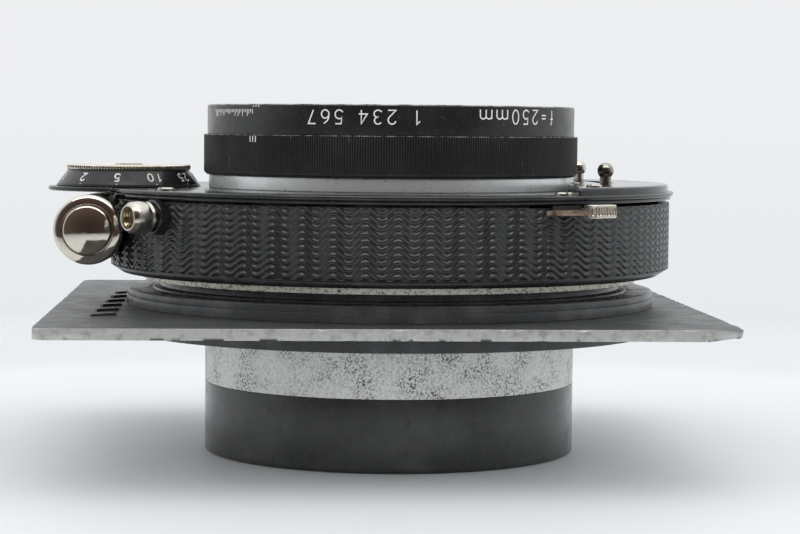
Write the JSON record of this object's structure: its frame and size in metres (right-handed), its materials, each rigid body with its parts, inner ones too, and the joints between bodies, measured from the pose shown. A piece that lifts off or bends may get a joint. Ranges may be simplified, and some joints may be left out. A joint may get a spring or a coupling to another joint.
{
  "type": "view camera lens in leaf shutter",
  "caption": "Large-format lens in a dial-set leaf shutter with an air cylinder, clamped in a square metal lens board.",
  "frame": {"origin": "on the optical axis, in the plane of the rear hood's rim, on which the lens stands", "axes": "+Z along the optical axis towards the front of the lens; the speed dial and the air cylinder lie towards -X; the cable release socket and the aperture tab lie towards -Y"},
  "size_m": [0.1208, 0.1208, 0.063],
  "materials": {
    "board_lacquer": "dark grey wrinkle lacquer, bare at the edges",
    "black_enamel": "black enamel, semi-gloss",
    "gloss_black": "black enamel, glossy",
    "black_anodised": "satin black with bright worn edges",
    "bright_nickel": "polished nickel plate",
    "satin_nickel": "worn satin nickel plate",
    "aluminium": "turned aluminium, mottled",
    "brass": "turned brass",
    "blade_steel": "blued steel",
    "glass": "polished, coated"
  },
  "bodies": {
    "lens_body": {"lens_board": "board_lacquer", "mounting_flange": "black_enamel", "flange_collar": "black_enamel", "retaining_ring": "black_enamel", "back_ring": "satin_nickel", "shutter_housing": "black_enamel", "front_plate": "gloss_black", "plate_screws": "bright_nickel", "lever_cover": "gloss_black", "cover_screws": "bright_nickel", "air_cylinder": "bright_nickel", "cylinder_cap_front": "bright_nickel", "cylinder_cap_rear": "bright_nickel", "socket_base": "black_enamel", "cable_release_socket": "bright_nickel", "dial_stud": "bright_nickel", "iris_base": "blade_steel", "shutter_base": "blade_steel", "main_spring": "blade_steel", "front_barrel": "aluminium", "grip_ring": "black_anodised", "name_ring": "black_anodised", "front_element": "glass", "front_inner_element": "glass", "front_spacer": "black_anodised", "front_lock_ring": "black_anodised", "rear_barrel": "aluminium", "rear_hood": "black_anodised", "rear_element": "glass", "rear_inner_element": "glass", "rear_spacer": "black_anodised", "rear_lock_ring": "black_anodised"},
    "dial": {"speed_dial": "gloss_black", "dial_disc": "satin_nickel"},
    "aperture": {"aperture_ring": "blade_steel", "aperture_lever": "satin_nickel", "aperture_tab": "satin_nickel"},
    "cocking": {"cocking_ring": "blade_steel", "cocking_knob": "satin_nickel"},
    "release": {"release_ring": "blade_steel", "release_knob": "satin_nickel"},
    "piston": {"piston": "brass", "piston_pin": "bright_nickel"},
    "plunger": {"release_plunger": "bright_nickel"},
    "iris_blade_1": {"iris_blade_1": "blade_steel"},
    "iris_blade_2": {"iris_blade_2": "blade_steel"},
    "iris_blade_3": {"iris_blade_3": "blade_steel"},
    "iris_blade_4": {"iris_blade_4": "blade_steel"},
    "iris_blade_5": {"iris_blade_5": "blade_steel"},
    "iris_blade_6": {"iris_blade_6": "blade_steel"},
    "iris_blade_7": {"iris_blade_7": "blade_steel"},
    "iris_blade_8": {"iris_blade_8": "blade_steel"},
    "shutter_blade_1": {"shutter_blade_1": "blade_steel"},
    "shutter_blade_2": {"shutter_blade_2": "blade_steel"},
    "shutter_blade_3": {"shutter_blade_3": "blade_steel"},
    "shutter_blade_4": {"shutter_blade_4": "blade_steel"},
    "shutter_blade_5": {"shutter_blade_5": "blade_steel"}
  },
  "joints": [
    {"name": "speed_dial_turn", "type": "hinge", "parent": "lens_body", "child": "dial", "pos_m": [-0.0481, 0, 0.05], "axis": [0, 0, 1], "range_deg": [-100, 160]},
    {"name": "aperture_turn", "type": "hinge", "parent": "lens_body", "child": "aperture", "pos_m": [0, 0, 0.037], "axis": [0, 0, 1], "range_deg": [0, 50]},
    {"name": "cocking_turn", "type": "hinge", "parent": "lens_body", "child": "cocking", "pos_m": [0, 0, 0.045], "axis": [0, 0, 1], "range_deg": [0, 24]},
    {"name": "release_turn", "type": "hinge", "parent": "lens_body", "child": "release", "pos_m": [0, 0, 0.043], "axis": [0, 0, 1], "range_deg": [0, 10], "stiffness_Nm_per_rad": 0.05},
    {"name": "piston_slide", "type": "slide", "parent": "lens_body", "child": "piston", "axis": [0, 1, 0], "range_m": [-0.0001, 0.0181]},
    {"name": "plunger_slide", "type": "slide", "parent": "lens_body", "child": "plunger", "axis": [0.7716, 0.6361, 0], "range_m": [-0.00005, 0.00305]},
    {"name": "iris_blade_1_turn", "type": "hinge", "parent": "lens_body", "child": "iris_blade_1", "pos_m": [0.0368, 0, 0.03515], "axis": [0, 0, 1], "range_deg": [-0.5, 30.5]},
    {"name": "iris_blade_2_turn", "type": "hinge", "parent": "lens_body", "child": "iris_blade_2", "pos_m": [0.02602, 0.02602, 0.03535], "axis": [0, 0, 1], "range_deg": [-0.5, 30.5]},
    {"name": "iris_blade_3_turn", "type": "hinge", "parent": "lens_body", "child": "iris_blade_3", "pos_m": [0, 0.0368, 0.03555], "axis": [0, 0, 1], "range_deg": [-0.5, 30.5]},
    {"name": "iris_blade_4_turn", "type": "hinge", "parent": "lens_body", "child": "iris_blade_4", "pos_m": [-0.02602, 0.02602, 0.03575], "axis": [0, 0, 1], "range_deg": [-0.5, 30.5]},
    {"name": "iris_blade_5_turn", "type": "hinge", "parent": "lens_body", "child": "iris_blade_5", "pos_m": [-0.0368, 0, 0.03595], "axis": [0, 0, 1], "range_deg": [-0.5, 30.5]},
    {"name": "iris_blade_6_turn", "type": "hinge", "parent": "lens_body", "child": "iris_blade_6", "pos_m": [-0.02602, -0.02602, 0.03615], "axis": [0, 0, 1], "range_deg": [-0.5, 30.5]},
    {"name": "iris_blade_7_turn", "type": "hinge", "parent": "lens_body", "child": "iris_blade_7", "pos_m": [0, -0.0368, 0.03635], "axis": [0, 0, 1], "range_deg": [-0.5, 30.5]},
    {"name": "iris_blade_8_turn", "type": "hinge", "parent": "lens_body", "child": "iris_blade_8", "pos_m": [0.02602, -0.02602, 0.03655], "axis": [0, 0, 1], "range_deg": [-0.5, 30.5]},
    {"name": "shutter_blade_1_turn", "type": "hinge", "parent": "lens_body", "child": "shutter_blade_1", "pos_m": [0.038, 0, 0.0385], "axis": [0, 0, 1], "range_deg": [-37.5, 0.5]},
    {"name": "shutter_blade_2_turn", "type": "hinge", "parent": "lens_body", "child": "shutter_blade_2", "pos_m": [0.01174, 0.03614, 0.0388], "axis": [0, 0, 1], "range_deg": [-37.5, 0.5]},
    {"name": "shutter_blade_3_turn", "type": "hinge", "parent": "lens_body", "child": "shutter_blade_3", "pos_m": [-0.03074, 0.02234, 0.0391], "axis": [0, 0, 1], "range_deg": [-37.5, 0.5]},
    {"name": "shutter_blade_4_turn", "type": "hinge", "parent": "lens_body", "child": "shutter_blade_4", "pos_m": [-0.03074, -0.02234, 0.0394], "axis": [0, 0, 1], "range_deg": [-37.5, 0.5]},
    {"name": "shutter_blade_5_turn", "type": "hinge", "parent": "lens_body", "child": "shutter_blade_5", "pos_m": [0.01174, -0.03614, 0.0397], "axis": [0, 0, 1], "range_deg": [-37.5, 0.5]}
  ],
  "couplings": [
    {"joint": "piston_slide", "follows": "cocking_turn", "m_per_rad": 0.042972},
    {"joint": "plunger_slide", "follows": "release_turn", "m_per_rad": 0.017189},
    {"joint": "iris_blade_1_turn", "follows": "aperture_turn", "ratio": 0.6},
    {"joint": "iris_blade_2_turn", "follows": "aperture_turn", "ratio": 0.6},
    {"joint": "iris_blade_3_turn", "follows": "aperture_turn", "ratio": 0.6},
    {"joint": "iris_blade_4_turn", "follows": "aperture_turn", "ratio": 0.6},
    {"joint": "iris_blade_5_turn", "follows": "aperture_turn", "ratio": 0.6},
    {"joint": "iris_blade_6_turn", "follows": "aperture_turn", "ratio": 0.6},
    {"joint": "iris_blade_7_turn", "follows": "aperture_turn", "ratio": 0.6},
    {"joint": "iris_blade_8_turn", "follows": "aperture_turn", "ratio": 0.6},
    {"joint": "shutter_blade_1_turn", "follows": "release_turn", "ratio": -3.7},
    {"joint": "shutter_blade_2_turn", "follows": "release_turn", "ratio": -3.7},
    {"joint": "shutter_blade_3_turn", "follows": "release_turn", "ratio": -3.7},
    {"joint": "shutter_blade_4_turn", "follows": "release_turn", "ratio": -3.7},
    {"joint": "shutter_blade_5_turn", "follows": "release_turn", "ratio": -3.7}
  ]
}
